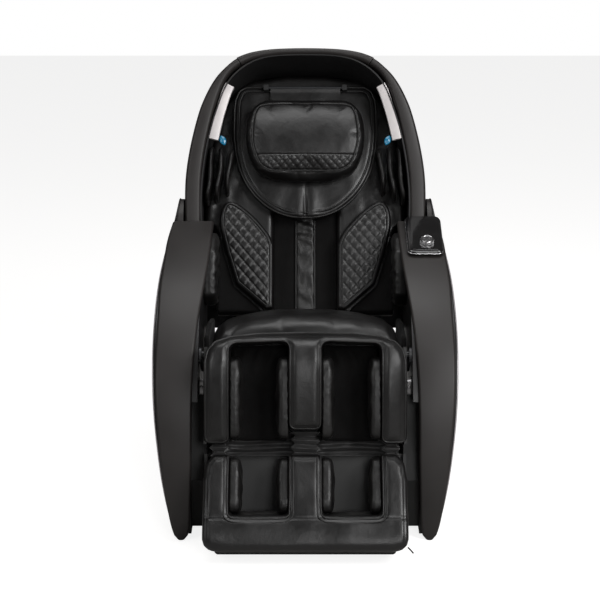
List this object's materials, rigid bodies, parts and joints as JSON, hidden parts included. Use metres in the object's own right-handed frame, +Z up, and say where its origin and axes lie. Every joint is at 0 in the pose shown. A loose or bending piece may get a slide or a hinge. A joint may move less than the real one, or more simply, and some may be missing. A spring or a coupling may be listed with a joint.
{
  "type": "massage chair",
  "caption": "Full-body massage chair with curved side arms, hooded reclining back, quilted cushions, liftable leg rest with calf and foot wells, and roller mechanism.",
  "frame": {"origin": "on the floor, under the middle of the whole chair", "axes": "+Z up, -Y towards the sitter's feet (the chair's front), +X to the sitter's left"},
  "size_m": [0.8288, 1.2642, 1.21],
  "materials": {
    "frame_steel": "satin grey powder coat",
    "rail_steel": "ground",
    "bracket_grey": "light grey coat",
    "tub_plastic": "moulded, matt",
    "arm_grey": "fine-grained warm grey",
    "shell_black": "satin black",
    "hood_grey": "fine-grained warm grey",
    "hood_dark": "satin black",
    "silver_paint": "silver, satin gloss",
    "trim_silver": "light silver",
    "lamp_blue": "translucent blue lens",
    "pad_gloss": "glossy black",
    "knob_silver": "satin",
    "leather_black": "soft sheen",
    "leather_airbag": "soft, thin",
    "stretch_black": "stretch knit",
    "bellows_black": "woven",
    "rubber_black": "matt",
    "wheel_grey": "matt",
    "roller_cream": "smooth",
    "arm_die_cast": "die-cast",
    "box_black": "matt"
  },
  "bodies": {
    "base": {"base_frame": "frame_steel", "base_cover": "tub_plastic", "floor_glides": "rubber_black", "control_box": "box_black", "air_pump": "box_black", "power_inlet": "box_black", "left_arm_core": "shell_black", "right_arm_core": "shell_black", "left_arm_cover": "arm_grey", "right_arm_cover": "arm_grey", "left_side_shell": "shell_black", "right_side_shell": "shell_black", "left_side_panel": "silver_paint", "right_side_panel": "silver_paint", "left_arm_pad": "leather_airbag", "right_arm_pad": "leather_airbag", "control_pad": "pad_gloss"},
    "left_caster": {"left_caster_wheel": "wheel_grey"},
    "right_caster": {"right_caster_wheel": "wheel_grey"},
    "rocker": {"power_switch": "box_black"},
    "knob": {"control_knob": "knob_silver"},
    "seat": {"seat_frame": "bracket_grey", "seat_cushion": "leather_black"},
    "backrest": {"back_shell": "shell_black", "hood_rim": "hood_grey", "hood_liner": "hood_dark", "left_hood_trim": "trim_silver", "right_hood_trim": "trim_silver", "left_lamp": "lamp_blue", "right_lamp": "lamp_blue", "back_frame": "frame_steel", "guide_rails": "rail_steel", "back_base_pad": "leather_black", "back_centre_strip": "leather_black", "back_stretch_panels": "stretch_black", "left_back_wing": "leather_black", "right_back_wing": "leather_black", "hip_panels": "stretch_black", "bib": "leather_black", "bib_clips": "box_black", "shoulder_airbags": "leather_airbag"},
    "pillow": {"head_pillow": "leather_black"},
    "carriage": {"massage_carriage": "arm_die_cast"},
    "left_massage_arm": {"left_roller_arm": "arm_die_cast"},
    "right_massage_arm": {"right_roller_arm": "arm_die_cast"},
    "left_upper_massage_roller": {"left_upper_roller": "roller_cream"},
    "left_lower_massage_roller": {"left_lower_roller": "roller_cream"},
    "right_upper_massage_roller": {"right_upper_roller": "roller_cream"},
    "right_lower_massage_roller": {"right_lower_roller": "roller_cream"},
    "calf_rest": {"calf_frame": "tub_plastic", "calf_cushion": "leather_black", "calf_pads": "stretch_black", "calf_airbags": "leather_airbag", "leg_bellows": "bellows_black"},
    "foot_rest": {"foot_frame": "tub_plastic", "foot_bolsters": "leather_black", "foot_sole": "leather_black", "foot_airbags": "leather_airbag"},
    "left_sole_roller": {"left_foot_roller": "roller_cream"},
    "right_sole_roller": {"right_foot_roller": "roller_cream"}
  },
  "joints": [
    {"name": "left_caster_spin", "type": "hinge", "parent": "base", "child": "left_caster", "pos_m": [0.196, 0.318, 0.032], "axis": [1, 0, 0], "continuous": true},
    {"name": "right_caster_spin", "type": "hinge", "parent": "base", "child": "right_caster", "pos_m": [-0.196, 0.318, 0.032], "axis": [1, 0, 0], "continuous": true},
    {"name": "power_rock", "type": "hinge", "parent": "base", "child": "rocker", "pos_m": [0.016, 0.294, 0.11], "axis": [1, 0, 0], "range_deg": [-8, 8]},
    {"name": "knob_turn", "type": "hinge", "parent": "base", "child": "knob", "pos_m": [0.34, 0.008, 0.69467], "axis": [0, -0.3156, 0.9489], "continuous": true},
    {"name": "seat_tilt", "type": "hinge", "parent": "base", "child": "seat", "pos_m": [0, 0.11, 0.33], "axis": [-1, 0, 0], "range_deg": [0, 12]},
    {"name": "back_recline", "type": "hinge", "parent": "seat", "child": "backrest", "pos_m": [0, 0.15, 0.4], "axis": [-1, 0, 0], "range_deg": [0, 45]},
    {"name": "pillow_lift", "type": "hinge", "parent": "backrest", "child": "pillow", "pos_m": [0, 0.40488, 1.08117], "axis": [-1, 0, 0], "range_deg": [0, 45]},
    {"name": "carriage_travel", "type": "slide", "parent": "backrest", "child": "carriage", "axis": [0, 0.4695, 0.8829], "range_m": [-0.2, 0.2]},
    {"name": "left_knead", "type": "hinge", "parent": "carriage", "child": "left_massage_arm", "pos_m": [0.069, 0.38168, 0.72655], "axis": [1, 0, 0], "range_deg": [-8, 8]},
    {"name": "right_knead", "type": "hinge", "parent": "carriage", "child": "right_massage_arm", "pos_m": [-0.069, 0.38168, 0.72655], "axis": [1, 0, 0], "range_deg": [-8, 8]},
    {"name": "left_upper_roller_spin", "type": "hinge", "parent": "left_massage_arm", "child": "left_upper_massage_roller", "pos_m": [0.052, 0.37989, 0.79773], "axis": [1, 0, 0], "continuous": true},
    {"name": "left_lower_roller_spin", "type": "hinge", "parent": "left_massage_arm", "child": "left_lower_massage_roller", "pos_m": [0.052, 0.32167, 0.68824], "axis": [1, 0, 0], "continuous": true},
    {"name": "right_upper_roller_spin", "type": "hinge", "parent": "right_massage_arm", "child": "right_upper_massage_roller", "pos_m": [-0.052, 0.37989, 0.79773], "axis": [1, 0, 0], "continuous": true},
    {"name": "right_lower_roller_spin", "type": "hinge", "parent": "right_massage_arm", "child": "right_lower_massage_roller", "pos_m": [-0.052, 0.32167, 0.68824], "axis": [1, 0, 0], "continuous": true},
    {"name": "leg_lift", "type": "hinge", "parent": "seat", "child": "calf_rest", "pos_m": [0, -0.345, 0.49], "axis": [-1, 0, 0], "range_deg": [0, 70]},
    {"name": "foot_slide", "type": "slide", "parent": "calf_rest", "child": "foot_rest", "axis": [0, -0.342, -0.9397], "range_m": [0, 0.15], "deforming": ["leg_bellows"]},
    {"name": "left_sole_roller_spin", "type": "hinge", "parent": "foot_rest", "child": "left_sole_roller", "pos_m": [0.1205, -0.51855, 0.08919], "axis": [1, 0, 0], "continuous": true},
    {"name": "right_sole_roller_spin", "type": "hinge", "parent": "foot_rest", "child": "right_sole_roller", "pos_m": [-0.1205, -0.51855, 0.08919], "axis": [1, 0, 0], "continuous": true}
  ],
  "couplings": [
    {"joint": "right_knead", "follows": "left_knead", "ratio": -1}
  ]
}
